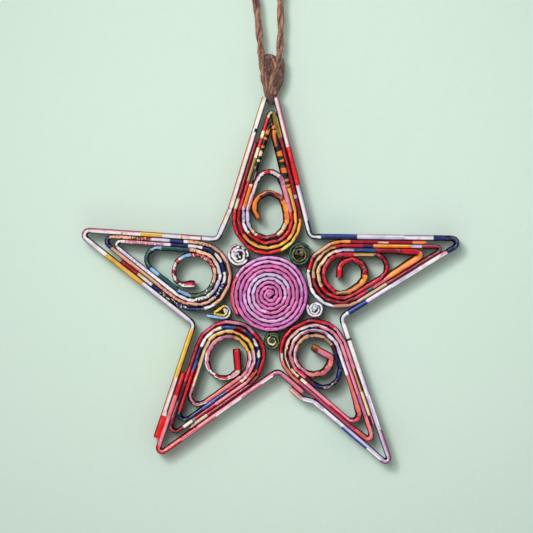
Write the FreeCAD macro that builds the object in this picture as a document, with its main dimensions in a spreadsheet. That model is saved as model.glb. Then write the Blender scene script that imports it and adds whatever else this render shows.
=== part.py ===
"""Star ornament of coiled paper strips, hung on a loop of twine.

Millimetres. The star hangs upright in the XZ plane with its front toward -Y and +Z up.
The origin is the inside top of the twine loop, where it rests on its peg.
Every paper part is one long strip seen on edge: its centre line is worked out in the XZ plane,
thickened into an outline, and padded to the width of the strip.
"""
import FreeCAD, Part
import math
import os

doc = FreeCAD.newDocument("coiled_paper_star")
sheet = doc.addObject("Spreadsheet::Sheet", "Sizes")

# Shared sizes: name, value, meaning.
SHARED = [
    ("strip_width", 6.0, "front to back width of every strip"),
    ("glue_gap", 0.1, "thin film of glue between pieces that touch"),
    ("arm_thickness", 1.0, "folded paper of the five arm coils"),
    ("arm_pitch", 1.2, "spacing of an arm coil's turns along its sides"),
    ("point_length", 35.2, "from an arm coil's hub to its sharp point, on an average arm"),
    ("arm_shift", 0.25, "how far each turn slides toward the point of its arm"),
    ("disc_thickness", 1.0, "folded paper of the centre disc"),
    ("disc_pitch", 1.16, "spacing of the disc's turns"),
    ("disc_radius", 10.8, "centre line of the disc's outer turn at its free end"),
    ("disc_core", 0.95, "centre line where the disc starts at its middle"),
    ("disc_free_end_angle", 211.0, "bearing of the disc's outer end, degrees"),
    ("roll_thickness", 0.68, "folded paper of the small rolls"),
    ("roll_pitch", 0.8, "spacing of a small roll's turns"),
    ("roll_film", 0.03, "glue between a small roll and its neighbours"),
    ("roll_core", 0.55, "centre line where a small roll starts"),
    ("frame_thickness", 1.4, "folded paper of the outer frame"),
    ("corner_bend", 1.8, "bend of the frame in the inner corners"),
    ("corner_flare_angle", 6.0, "outward turn of the top arm's left leg, degrees"),
    ("point_gap", 2.8, "how far short of the top arm's sharp point the frame's two ends stop"),
    ("lap_joggle", 2.6, "length over which a lapped end steps outward"),
    ("twine_diameter", 2.1, "two-ply jute twine"),
    ("knot_radius", 3.6, "widest part of the knot"),
    ("knot_neck", 1.75, "neck of the knot above the paper"),
    ("knot_height", 12.6, "top of the knot above the ends of the frame"),
    ("tail_length", 2.4, "twine glued between the ends of the frame"),
]

# Each arm: bearing of its round end from the disc, bearing of its point, how much longer its point
# is than the average, radius of the outer turn, bend of the frame at the point, reach of the
# strip's outer end.
ARM_SIZES = ("bearing", "axis", "point_extra", "radius", "point_bend", "start")
ARMS = {
    "top": (90.8, 88.4, 2.0, 9.95, 1.0, 21.9),
    "right": (14.6, 15.5, -0.4, 9.7, 1.3, 25.8),
    "bottom_right": (-54.5, -55.9, 1.5, 9.75, 0.95, 26.3),
    "bottom_left": (235.5, 233.4, -2.2, 10.3, 1.0, 22.9),
    "left": (164.7, 158.9, -1.0, 10.1, 1.3, 21.2),
}

# Bend of each turn's point from the outer turn inward, then the loose end:
# how far round the last bend the strip runs, its last fold and the length after that fold.
BENDS = {
    "top": (0.95, 0.65, 3.9, 4.48),
    "right": (0.7, 1.2, 3.55, 4.2),
    "bottom_right": (1.2, 2.0, 4.8, 4.7),
    "bottom_left": (1.35, 1.6, 2.5, 5.2),
    "left": (1.35, 1.0, 3.2, 5.3),
}
END_SIZES = ("end_turn", "end_fold", "end_length")
ENDS = {
    "top": (134.0, 0.0, 0.0),
    "right": (183.0, 0.0, 0.0),
    "bottom_right": (64.6, 54.0, 6.2),
    "bottom_left": (89.0, 41.0, 6.4),
    "left": (64.0, 47.0, 4.6),
}

# Small rolls in the pockets between two arms and the disc: the two arms in anticlockwise order,
# bearing of the outer end and number of turns.
ROLLS = {
    "small_roll_top_right": ("right", "top", 40.0, 2.3),
    "small_roll_top_left": ("top", "left", 100.0, 2.5),
    "small_roll_bottom": ("bottom_left", "bottom_right", 40.0, 2.4),
    "small_roll_right": ("bottom_right", "right", 150.0, 2.2),
}
# The fifth pocket holds a pinched roll with a point.
PINCHED = ("left", "bottom_left")
PINCH_SIZES = [
    ("pinch_axis_angle", 193.0, "bearing of the pinched roll's point, degrees"),
    ("pinch_half_angle", 22.0, "half angle of its point"),
    ("pinch_reach", 4.9, "reach of its outer end"),
    ("pinch_bend", 0.5, "bend of its point"),
    ("pinch_inner_bend", 0.85, "bend of its inner turn"),
    ("pinch_end_angle", 150.0, "how far round its last bend the strip runs, degrees"),
]

# The laps, where one frame strip ends over or under the next: reach from the arm's hub, or how far
# short of the arm's sharp point.
LAPS = [
    ("lap_left_inner", 11.5, "reach of the bottom left strip's start under the top left one"),
    ("lap_left_outer", 2.2, "how far short of the point the top left strip ends"),
    ("lap_bottom_outer", 4.9, "reach of the bottom right strip's start over the bottom left one"),
    ("lap_bottom_inner", 7.7, "reach of the bottom left strip's end"),
    ("butt_right", 4.2, "how far short of the point the bottom right strip meets the top right one"),
]

# Facets of the folded strip: paper this stiff turns in short flats, not in true curves.
ROUND_FACETS = 10
POINT_FACETS = 4
LOOP_FACETS = 7
DISC_FACETS = 15
ROLL_FACETS = 11
CORNER_FACETS = 4

# Route of the twine, chosen by hand: up from the knot, over the peg and down again.
TWINE_ROUTE = [
    (-1.6, 0.0, -30.8),
    (-2.25, -0.15, -23.6),
    (-3.1, 0.1, -16.0),
    (-4.15, 0.15, -8.5),
    (-4.25, 0.0, -1.5),
    (-1.8, 0.0, 1.05),
    (1.75, 0.0, 1.05),
    (4.25, 0.0, -1.4),
    (3.95, 0.2, -8.6),
    (3.7, -0.1, -16.4),
    (4.05, -0.2, -24.0),
    (3.6, 0.0, -30.8),
]


def fill_sheet():
    """Writes every driving size into the sheet, one named row each."""
    rows = SHARED + PINCH_SIZES + LAPS
    for arm, values in ARMS.items():
        rows += [(arm + "_" + name, value, "arm") for name, value in zip(ARM_SIZES, values)]
        rows += [(arm + "_bend_%d" % (i + 1), value, "turn") for i, value in enumerate(BENDS[arm])]
        rows += [(arm + "_" + name, value, "loose end") for name, value in zip(END_SIZES, ENDS[arm])]
    for name, (first, second, bearing, turns) in ROLLS.items():
        rows += [(name + "_bearing", bearing, "outer end"), (name + "_turns", turns, "turns")]
    for i, (name, value, meaning) in enumerate(rows):
        row = i + 1
        sheet.set("A%d" % row, name)
        sheet.set("B%d" % row, str(value))
        sheet.setAlias("B%d" % row, name)
        sheet.set("C%d" % row, meaning)
    doc.recompute()


def size(name):
    return float(sheet.get(name))


def polar(angle, length=1.0):
    """Point at an angle in degrees, from +X toward +Z, as an (x, z) pair."""
    return (length * math.cos(math.radians(angle)), length * math.sin(math.radians(angle)))


def add(a, b, scale=1.0):
    return (a[0] + b[0] * scale, a[1] + b[1] * scale)


def distance(a, b):
    return math.hypot(b[0] - a[0], b[1] - a[1])


def crossing(p, p_dir, q, q_dir):
    """Where two straight lines meet."""
    det = p_dir[0] * q_dir[1] - p_dir[1] * q_dir[0]
    along = ((q[0] - p[0]) * q_dir[1] - (q[1] - p[1]) * q_dir[0]) / det
    return add(p, p_dir, along)


def rounded(corners, facets):
    """Polyline through (point, bend radius) corners, each bend turned in a few short flats."""
    line = [corners[0][0]]
    for (before, _), (corner, radius), (after, _) in zip(corners, corners[1:], corners[2:]):
        into = math.atan2(corner[1] - before[1], corner[0] - before[0])
        out = math.atan2(after[1] - corner[1], after[0] - corner[0])
        turn = (out - into + math.pi) % (2 * math.pi) - math.pi
        if radius == 0:
            line.append(corner)
            continue
        setback = radius * math.tan(abs(turn) / 2)
        side = math.copysign(90, turn)
        start = add(corner, polar(math.degrees(into)), -setback)
        hub = add(start, polar(math.degrees(into) + side), radius)
        for i in range(facets + 1):
            angle = math.degrees(into + turn * i / facets) - side
            line.append(add(hub, polar(angle), radius))
    line.append(corners[-1][0])
    return line


def outline(line, thickness):
    """Closed outline of a strip of even thickness around its centre line, with mitred folds."""
    left, right = [], []
    last = len(line) - 1
    for i, point in enumerate(line):
        a = line[max(i - 1, 0)]
        b = line[min(i + 1, last)]
        into = math.atan2(point[1] - a[1], point[0] - a[0]) if i else None
        out = math.atan2(b[1] - point[1], b[0] - point[0]) if i < last else None
        into = out if into is None else into
        out = into if out is None else out
        half = ((out - into + math.pi) % (2 * math.pi) - math.pi) / 2
        normal = polar(math.degrees(into + half) + 90, thickness / 2 / math.cos(half))
        left.append(add(point, normal))
        right.append(add(point, normal, -1))
    return left + right[::-1]


class Arm:
    """One arm coil: a teardrop spiral with its round end against the disc."""

    def __init__(self, name):
        self.name = name
        for key in ARM_SIZES + END_SIZES:
            setattr(self, key, size(name + "_" + key))
        self.length = size("point_length") + self.point_extra
        self.half_angle = math.degrees(math.asin(self.radius / self.length))
        self.pitch = size("arm_pitch")
        self.shift = size("arm_shift")
        self.thickness = size("arm_thickness")
        self.bends = [size(name + "_bend_%d" % (i + 1)) for i in range(len(BENDS[name]))]
        self.centre = (0.0, 0.0)
        self.centre = self.seat_on_disc()

    def turned(self, angle):
        """Share of the round end passed at this angle from the arm's axis."""
        return (angle - (90 - self.half_angle)) / (180 + 2 * self.half_angle)

    def seat_on_disc(self):
        """Centre that puts the outer turn a film of glue away from the disc."""
        facing = 180 + self.bearing - self.axis
        share = self.turned(facing)
        reach = self.radius - self.pitch * share - self.shift * share + self.thickness / 2
        return polar(self.bearing, disc_edge(self.bearing) + size("glue_gap") + reach)

    def edge_toward(self, point):
        """Centre and outer radius of the round end on the side that faces a point."""
        bearing = math.degrees(math.atan2(point[1] - self.centre[1], point[0] - self.centre[0]))
        share = self.turned((bearing - self.axis) % 360)
        hub = add(self.centre, polar(self.axis), self.shift * share)
        return hub, self.radius - self.pitch * share + self.thickness / 2

    def point_on_side(self, side, offset, reach):
        """Point of a line beside the arm: side is +1 or -1, offset its distance from the centre."""
        tilt = self.half_angle
        foot = add(self.centre, polar(self.axis + side * (90 - tilt)), offset)
        along = (reach - offset * math.sin(math.radians(tilt))) / math.cos(math.radians(tilt))
        return add(foot, polar(self.axis - side * tilt), along)

    def side_line(self, side, offset):
        """The same line as a point and a direction."""
        return self.point_on_side(side, offset, 0), polar(self.axis - side * self.half_angle)

    def frame_offset(self, side, layer=0):
        """Distance of a frame strip's centre line from the arm's centre, by glued layer."""
        coil = self.radius
        if side < 0:
            coil += self.shift * math.sin(math.radians(self.half_angle)) - self.pitch
        film = size("glue_gap")
        frame = size("frame_thickness")
        return coil + self.thickness / 2 + film + frame / 2 + layer * (frame + film)

    def tip(self):
        """Sharp point of the frame around this arm."""
        plus = self.side_line(1, self.frame_offset(1))
        minus = self.side_line(-1, self.frame_offset(-1))
        return crossing(plus[0], plus[1], minus[0], minus[1])

    def centre_line(self):
        """Centre line from the outer end inward, turning anticlockwise seen from the front."""
        return teardrop(
            self.centre, self.axis, self.half_angle, self.radius, self.pitch, self.shift,
            self.thickness, self.bends, self.start, self.end_turn, self.end_fold, self.end_length,
        )


def teardrop(centre, axis, half_angle, radius, pitch, shift, thickness, bends, start,
             end_turn, end_fold, end_length):
    """Spiral that alternates a round end with a bend at the point.

    The radius falls by one pitch over each round end, so both straight sides keep that spacing.
    """
    sine = math.sin(math.radians(half_angle))
    cosine = math.cos(math.radians(half_angle))
    side = add(centre, polar(axis + 90 - half_angle), radius)
    line = [add(side, polar(axis - half_angle), (start - radius * sine) / cosine)]
    tightest = 0.8 * thickness
    for turn, bend in enumerate(bends):
        for i in range(ROUND_FACETS + 1):
            share = i / ROUND_FACETS
            rim = radius - pitch * (turn + share)
            if rim < tightest:
                return line
            angle = axis + 90 - half_angle + share * (180 + 2 * half_angle)
            hub = add(centre, polar(axis), shift * (turn + share))
            line.append(add(hub, polar(angle), rim))
        side_radius = radius - pitch * (turn + 1)
        bend = min(bend, 0.96 * side_radius)
        hub = add(centre, polar(axis), shift * (turn + 1) + (side_radius - bend) / sine)
        last = turn == len(bends) - 1
        first_angle = half_angle - 90
        last_angle = end_turn if last else 90 - half_angle
        facets = POINT_FACETS if bend < 2 * thickness and not last else LOOP_FACETS
        for i in range(facets + 1):
            angle = first_angle + (last_angle - first_angle) * i / facets
            line.append(add(hub, polar(axis + angle), bend))
    if end_length:
        line.append(add(line[-1], polar(axis + end_turn + 90 + end_fold), end_length))
    return line


def disc_edge(bearing):
    """Outer radius of the disc on a bearing: it falls by a pitch in a turn from its free end."""
    share = ((size("disc_free_end_angle") - bearing) % 360) / 360
    return size("disc_radius") - size("disc_pitch") * share + size("disc_thickness") / 2


def round_spiral(centre, outer, core, pitch, free_end, facets, way):
    """Spiral from the outer end to the core: way is -1 for clockwise, +1 for anticlockwise."""
    count = math.ceil((outer - core) / pitch * facets)
    return [
        add(centre, polar(free_end + way * 360 * i / facets), outer - pitch * i / facets)
        for i in range(count + 1)
    ]


def pocket(first, second, free_end, pitch):
    """Centre and rim radius of an anticlockwise roll that touches two arms and the disc.

    It starts from a guess between them and is moved until all three seats are equal. The roll's
    own rim falls by one pitch in a turn from its free end.
    """
    guess = add((0, 0), add(polar(first.bearing), polar(second.bearing)), 0.8 * size("disc_radius"))
    for _ in range(80):
        bearing = math.degrees(math.atan2(guess[1], guess[0]))
        rims = [((0.0, 0.0), disc_edge(bearing)), first.edge_toward(guess), second.edge_toward(guess)]
        gaps = []
        for hub, rim in rims:
            toward = math.degrees(math.atan2(hub[1] - guess[1], hub[0] - guess[0]))
            fallen = pitch * ((toward - free_end) % 360) / 360
            gaps.append(distance(hub, guess) - rim + fallen)
        mean = sum(gaps) / 3
        for (hub, _), gap in zip(rims, gaps):
            away = (guess[0] - hub[0], guess[1] - hub[1])
            guess = add(guess, away, (mean - gap) / math.hypot(away[0], away[1]) * 0.6)
    return guess, min(gaps) - size("roll_film")


def strip_body(name, line, thickness_name):
    """Body of one strip: its outline sketched in the XZ plane and padded to the strip's width."""
    body = doc.addObject("PartDesign::Body", name)
    body.Label = name
    sketch = body.newObject("Sketcher::SketchObject", name + "_outline")
    plane = [f for f in body.Origin.OriginFeatures if f.Role == "XZ_Plane"][0]
    sketch.AttachmentSupport = (plane, [""])
    sketch.MapMode = "FlatFace"
    corners = [FreeCAD.Vector(x, z, 0) for x, z in outline(line, size(thickness_name))]
    edges = [Part.LineSegment(a, b) for a, b in zip(corners, corners[1:] + corners[:1])]
    sketch.addGeometry(edges, False)
    pad = body.newObject("PartDesign::Pad", name + "_width")
    pad.Profile = sketch
    pad.Midplane = True
    pad.setExpression("Length", "Sizes.strip_width")
    body.Tip = pad
    body.Placement.Base = star_centre
    return body


def top_left_strip(arms):
    """From the top point down, round the left arm, and down outside the bottom left arm."""
    top, left, low = arms["top"], arms["left"], arms["bottom_left"]
    offset = top.frame_offset(1)
    hip = top.point_on_side(1, offset, offset * math.sin(math.radians(top.half_angle)))
    flare = polar(top.axis - top.half_angle - size("corner_flare_angle"))
    upper = left.side_line(-1, left.frame_offset(-1))
    lower = left.side_line(1, left.frame_offset(1))
    outer_offset = low.frame_offset(-1, 1)
    inner = low.side_line(-1, outer_offset)
    return rounded([
        (top.point_on_side(1, offset, top.length - size("point_gap")), 0),
        (hip, size("corner_bend")),
        (crossing(hip, flare, upper[0], upper[1]), size("corner_bend")),
        (left.tip(), left.point_bend),
        (crossing(lower[0], lower[1], inner[0], inner[1]), size("corner_bend")),
        (low.point_on_side(-1, outer_offset, low.length - size("lap_left_outer")), 0),
    ], CORNER_FACETS)


def bottom_left_strip(arms):
    """From inside the first lap round the bottom left arm to the lap under the next strip."""
    low, right = arms["bottom_left"], arms["bottom_right"]
    lower = low.side_line(1, low.frame_offset(1))
    inner = right.side_line(-1, right.frame_offset(-1))
    return rounded([
        (low.point_on_side(-1, low.frame_offset(-1), size("lap_left_inner")), 0),
        (low.tip(), low.point_bend),
        (crossing(lower[0], lower[1], inner[0], inner[1]), size("corner_bend")),
        (right.point_on_side(-1, right.frame_offset(-1), size("lap_bottom_inner")), 0),
    ], CORNER_FACETS)


def bottom_right_strip(arms):
    """From outside the bottom lap round the bottom right arm to the point of the right arm."""
    low, right = arms["bottom_right"], arms["right"]
    joggle = size("lap_joggle")
    over = low.frame_offset(-1, 1)
    landing = size("lap_bottom_inner") + size("frame_thickness")
    outer = low.side_line(1, low.frame_offset(1))
    upper = right.side_line(-1, right.frame_offset(-1))
    return rounded([
        (low.point_on_side(-1, over, size("lap_bottom_outer")), 0),
        (low.point_on_side(-1, over, landing), 0),
        (low.point_on_side(-1, low.frame_offset(-1), landing + joggle), 0),
        (low.tip(), low.point_bend),
        (crossing(outer[0], outer[1], upper[0], upper[1]), size("corner_bend")),
        (right.point_on_side(-1, right.frame_offset(-1), right.length - size("butt_right")), 0),
    ], CORNER_FACETS)


def top_right_strip(arms):
    """From the butt joint round the point of the right arm and up to the top point."""
    right, top = arms["right"], arms["top"]
    upper = right.side_line(1, right.frame_offset(1))
    inner = top.side_line(-1, top.frame_offset(-1))
    butt = right.length - size("butt_right") + size("glue_gap")
    return rounded([
        (right.point_on_side(-1, right.frame_offset(-1), butt), 0),
        (right.tip(), right.point_bend),
        (crossing(upper[0], upper[1], inner[0], inner[1]), size("corner_bend")),
        (top.point_on_side(-1, top.frame_offset(-1), top.length - size("point_gap")), 0),
    ], CORNER_FACETS)


def pinched_roll(arms):
    """Small roll pinched to a point, filling its pocket."""
    thickness = size("roll_thickness")
    centre, radius = pocket(arms[PINCHED[0]], arms[PINCHED[1]], size("pinch_axis_angle"), 0.0)
    return teardrop(
        centre, size("pinch_axis_angle"), size("pinch_half_angle"), radius - thickness / 2,
        size("roll_pitch"), 0.0, thickness, [size("pinch_bend"), size("pinch_inner_bend")],
        size("pinch_reach"), size("pinch_end_angle"), 0.0, 0.0,
    )


def twine_path():
    """Route of the twine as straight runs joined by tangent arcs; prints each arc's radius."""
    points = [FreeCAD.Vector(*p) for p in TWINE_ROUTE]
    edges = []
    start = points[0]
    radii = []
    for before, corner, after in zip(points, points[1:], points[2:]):
        run_in = corner - before
        run_out = after - corner
        turn = run_in.getAngle(run_out)
        shorter = min(run_in.Length, run_out.Length)
        setback = 0.45 * shorter
        radius = setback / math.tan(turn / 2)
        radii.append(radius)
        enter = corner - FreeCAD.Vector(run_in).normalize() * setback
        leave = corner + FreeCAD.Vector(run_out).normalize() * setback
        to_hub = (enter + leave) * 0.5 - corner
        middle_gap = radius / math.cos(turn / 2) - radius
        middle = corner + FreeCAD.Vector(to_hub).normalize() * middle_gap
        edges.append(Part.LineSegment(start, enter).toShape())
        edges.append(Part.Arc(enter, middle, leave).toShape())
        start = leave
    edges.append(Part.LineSegment(start, points[-1]).toShape())
    print("twine arc radii:", ", ".join("%.1f" % r for r in radii))
    return Part.Wire(edges)


def twine_loop():
    """The loop: a round section swept along its route."""
    route = doc.addObject("Part::Feature", "twine_route")
    route.Shape = twine_path()
    print("twine length: %.2f" % route.Shape.Length)
    section = doc.addObject("Part::Circle", "twine_section")
    section.setExpression("Radius", "Sizes.twine_diameter / 2")
    first = FreeCAD.Vector(*TWINE_ROUTE[0])
    run = FreeCAD.Vector(*TWINE_ROUTE[1]) - first
    section.Placement = FreeCAD.Placement(first, FreeCAD.Rotation(FreeCAD.Vector(0, 0, 1), run))
    loop = doc.addObject("Part::Sweep", "twine_loop")
    loop.Label = "twine_loop"
    loop.Sections = [section]
    loop.Spine = (route, ["Edge%d" % (i + 1) for i in range(len(route.Shape.Edges))])
    loop.Solid = True
    return loop


def twine_knot():
    """Tight knot in the round, with its tail squeezed between the frame's ends."""
    body = doc.addObject("PartDesign::Body", "twine_knot")
    body.Label = "twine_knot"
    sketch = body.newObject("Sketcher::SketchObject", "knot_half")
    plane = [f for f in body.Origin.OriginFeatures if f.Role == "XZ_Plane"][0]
    sketch.AttachmentSupport = (plane, [""])
    sketch.MapMode = "FlatFace"
    wide, neck, height = size("knot_radius"), size("knot_neck"), size("knot_height")
    film, down = size("glue_gap"), size("tail_length")
    tail = distance(*point_ends) / 2 - size("frame_thickness") / 2 - film
    spots = {
        "floor": (0, -down), "tail": (tail, -down), "seat": (tail, film),
        "shoulder": (neck, 0.11 * height), "belly": (0.93 * wide, 0.40 * height),
        "side": (wide, 0.66 * height), "brim": (0.97 * wide, height), "crown": (0, height),
    }
    at = {key: FreeCAD.Vector(x, z, 0) for key, (x, z) in spots.items()}
    hollow = FreeCAD.Vector(0.5 * (neck + wide) - 0.18 * neck, 0.27 * height, 0)
    sketch.addGeometry([
        Part.LineSegment(at["floor"], at["tail"]),
        Part.LineSegment(at["tail"], at["seat"]),
        Part.LineSegment(at["seat"], at["shoulder"]),
        Part.Arc(at["shoulder"], hollow, at["belly"]),
        Part.Arc(at["belly"], at["side"], at["brim"]),
        Part.LineSegment(at["brim"], at["crown"]),
        Part.LineSegment(at["crown"], at["floor"]),
    ], False)
    turn = body.newObject("PartDesign::Revolution", "knot_turn")
    turn.Profile = sketch
    turn.ReferenceAxis = (sketch, ["V_Axis"])
    turn.Angle = 360
    body.Tip = turn
    body.Placement.Base = knot_seat
    return body


fill_sheet()
arms = {name: Arm(name) for name in ARMS}

# The star hangs from the knot, and the knot from the two ends of the twine.
ends_middle = (FreeCAD.Vector(*TWINE_ROUTE[0]) + FreeCAD.Vector(*TWINE_ROUTE[-1])) * 0.5
knot_seat = ends_middle - FreeCAD.Vector(0, 0, size("knot_height") + size("glue_gap"))
top = arms["top"]
point_reach = top.length - size("point_gap")
point_ends = [top.point_on_side(side, top.frame_offset(side), point_reach) for side in (1, -1)]
seat_x, seat_z = add(add((0, 0), point_ends[0], 0.5), point_ends[1], 0.5)
star_centre = knot_seat - FreeCAD.Vector(seat_x, 0, seat_z)
print("disc centre:", star_centre)

parts = [strip_body("coil_" + name, arm.centre_line(), "arm_thickness") for name, arm in arms.items()]
disc_line = round_spiral(
    (0, 0), size("disc_radius"), size("disc_core"), size("disc_pitch"),
    size("disc_free_end_angle"), DISC_FACETS, -1,
)
parts.append(strip_body("centre_disc", disc_line, "disc_thickness"))
for name, (first, second, _, _) in ROLLS.items():
    free_end = size(name + "_bearing")
    hub, rim = pocket(arms[first], arms[second], free_end, size("roll_pitch"))
    outer = rim - size("roll_thickness") / 2
    core = max(outer - size(name + "_turns") * size("roll_pitch"), size("roll_core"))
    roll_line = round_spiral(
        hub, outer, core, size("roll_pitch"), free_end, ROLL_FACETS, 1,
    )
    print(name, "rim radius %.2f" % rim)
    parts.append(strip_body(name, roll_line, "roll_thickness"))
parts.append(strip_body("small_roll_left", pinched_roll(arms), "roll_thickness"))
parts.append(strip_body("frame_strip_top_left", top_left_strip(arms), "frame_thickness"))
parts.append(strip_body("frame_strip_bottom_left", bottom_left_strip(arms), "frame_thickness"))
parts.append(strip_body("frame_strip_bottom_right", bottom_right_strip(arms), "frame_thickness"))
parts.append(strip_body("frame_strip_top_right", top_right_strip(arms), "frame_thickness"))
parts.append(twine_loop())
parts.append(twine_knot())

doc.recompute()
for thing in doc.Objects:
    bad = [state for state in thing.State if state in ("Invalid", "Error")]
    if bad:
        raise RuntimeError("%s: %s" % (thing.Label, bad))
for part in parts:
    if part.Shape.isNull() or not part.Shape.isValid():
        raise RuntimeError("%s has no sound shape" % part.Label)
    if len(part.Shape.Solids) != 1:
        raise RuntimeError("%s is not one solid" % part.Label)

loop = [part for part in parts if part.Label == "twine_loop"][0]
tube = math.pi * size("twine_diameter") ** 2 / 4 * doc.getObject("twine_route").Shape.Length
print("twine volume %.2f, section times length %.2f" % (loop.Shape.Volume, tube))

os.makedirs("parts", exist_ok=True)
for part in parts:
    part.Shape.exportStep("parts/%s.step" % part.Label)
print("parts written:", len(parts))
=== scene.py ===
import math
import random

import bpy
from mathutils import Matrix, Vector, noise


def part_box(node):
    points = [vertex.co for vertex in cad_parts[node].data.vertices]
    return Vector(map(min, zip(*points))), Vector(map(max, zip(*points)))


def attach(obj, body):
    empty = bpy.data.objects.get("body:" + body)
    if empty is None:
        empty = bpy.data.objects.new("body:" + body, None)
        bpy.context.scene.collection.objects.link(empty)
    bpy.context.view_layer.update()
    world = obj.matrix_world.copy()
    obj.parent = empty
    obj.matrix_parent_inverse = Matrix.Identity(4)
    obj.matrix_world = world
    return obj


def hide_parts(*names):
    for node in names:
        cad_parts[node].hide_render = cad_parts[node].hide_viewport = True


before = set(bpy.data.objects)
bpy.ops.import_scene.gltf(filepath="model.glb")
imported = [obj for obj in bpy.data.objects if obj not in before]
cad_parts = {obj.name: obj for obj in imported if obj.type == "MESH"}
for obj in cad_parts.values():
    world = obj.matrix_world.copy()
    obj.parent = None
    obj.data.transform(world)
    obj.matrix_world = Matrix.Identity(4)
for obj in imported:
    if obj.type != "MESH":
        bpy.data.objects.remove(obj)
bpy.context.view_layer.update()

bl_info = {
    "name": "Coiled paper star",
    "version": (1, 0, 0),
    "blender": (4, 5, 0),
    "location": "View3D > Sidebar > Paper star",
    "description": "A hanging star of folded and coiled magazine paper strips",
    "category": "Object",
}

MM = 0.001

# Share of a flat by which a bend may stand off its place.
BEND_SHIFT = 0.32
# How far a strip's front edge stands behind its solid's front, mm.
EDGE_INSET = 0.17
# Distances from a bend within which a strip is pinched and its edge worn, mm.
PINCH_REACH = 0.45
WORN_REACH = 0.3
# How fast a strip turns loose past loose_from: fully so after an eighth of its length.
LOOSE_RISE = 8
# How a strip's thickness wanders where it is neat, and how much more and fuller where it is loose.
NEAT_SWELL = 0.07
LOOSE_SWELL = 0.2
LOOSE_FULLNESS = 0.1
# How much more the loose part leans, and the share of fine ripple in the front edge's waver.
LOOSE_LEAN = 1.5
RIPPLE = 0.35
# Distance from a bend at which a flat is fully tipped, and depth to which a strip leans, mm.
TIP_REACH = 0.4
LEAN_DEPTH = 2
# Depth of the point where the side starts behind the crest, mm.
SIDE_DEPTH = 2.2
# Distance from a strip's end in which it narrows, mm, and its share of thickness there.
END_TAPER = 0.12
END_SHARE = 0.86
# What is stored on each strip for its material.
STRIP_VALUES = {
    "ink": "FLOAT_COLOR", "second": "FLOAT_COLOR", "pattern": "FLOAT_COLOR", "bend": "FLOAT", "run": "FLOAT",
    "across": "FLOAT", "depth": "FLOAT", "open": "FLOAT",
}
# Points between two corners of a guide curve.
CURVE_STEPS = 12
# Radius of one ply and of the circle that it runs on, as shares of the twine's thickness.
PLY_RADIUS = 0.35
PLY_ORBIT = 0.15
PLY_SIDES = 14
HAIR_RADIUS = 0.045
# Spacing of the twine's rings, mm.
TWINE_STEP = 0.3


def linear(level):
    """A screen level from 0 to 255 as linear light."""
    level /= 255
    return level / 12.92 if level <= 0.04045 else ((level + 0.055) / 1.055) ** 2.4


def ink(name, use, red, green, blue):
    """Property for one printing colour, from its screen levels."""
    return bpy.props.FloatVectorProperty(
        name=name, description=use, subtype="COLOR", size=3, min=0, max=1,
        default=(linear(red), linear(green), linear(blue)),
    )


def stretches(name, default):
    """Property for the print along one strip."""
    return bpy.props.StringProperty(
        name=name,
        description="Colours from the strip's outer end, each with its length in mm. A second colour "
                    "after a stroke gives flecks, after a star bold dashes and after a bar a second tone "
                    "on the outer side; x and a number make the stretch that much wider",
        default=default,
    )


def length(name, use, default, low=0.0, high=50.0):
    """Property for a size in millimetres."""
    return bpy.props.FloatProperty(name=name, description=use + ", mm", default=default, min=low, max=high)


class StarInks(bpy.types.PropertyGroup):
    """Printing colours of the magazine paper."""
    white: ink("White", "Bare coated paper", 246, 241, 240)
    cream: ink("Cream", "Warm page ground", 246, 222, 182)
    tan: ink("Tan", "Skin and wood tones", 208, 154, 106)
    peach: ink("Peach", "Light warm tone", 240, 178, 146)
    lilac: ink("Lilac", "Pale violet", 206, 194, 228)
    mauve: ink("Mauve", "Greyed violet pink", 176, 100, 132)
    orchid: ink("Orchid", "Violet pink of the disc", 214, 116, 190)
    orchid_pink: ink("Orchid pink", "Warm pink of the disc", 226, 118, 180)
    orchid_light: ink("Light orchid", "Light pink of the disc", 236, 180, 230)
    pale: ink("Pale orchid", "Palest stretch of the disc", 224, 196, 236)
    pink: ink("Pink", "Mid pink", 228, 134, 156)
    dark_pink: ink("Dark pink", "Deep pink", 172, 72, 96)
    rose: ink("Rose", "Rose red", 214, 48, 84)
    salmon: ink("Salmon", "Salmon", 236, 112, 106)
    red: ink("Red", "Bright red", 206, 4, 30)
    scarlet: ink("Scarlet", "Pure red", 236, 14, 20)
    dark_red: ink("Dark red", "Deep red", 136, 2, 28)
    crimson: ink("Crimson", "Bluish red", 176, 6, 46)
    maroon: ink("Maroon", "Red near black", 78, 10, 26)
    magenta: ink("Magenta", "Magenta", 176, 26, 92)
    orange: ink("Orange", "Orange", 246, 130, 30)
    gold: ink("Gold", "Dark yellow", 242, 184, 78)
    yellow: ink("Yellow", "Yellow", 250, 208, 74)
    olive: ink("Olive", "Olive", 136, 114, 36)
    green: ink("Green", "Moss green", 54, 90, 50)
    teal: ink("Teal", "Blue green", 34, 82, 88)
    sky: ink("Sky", "Light blue", 146, 188, 232)
    blue: ink("Blue", "Mid blue", 46, 82, 172)
    navy: ink("Navy", "Dark blue", 20, 30, 96)
    black: ink("Black", "Text black", 16, 14, 18)
    grey: ink("Grey", "Grey", 118, 114, 124)
    brown: ink("Brown", "Brown", 120, 58, 34)


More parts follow.
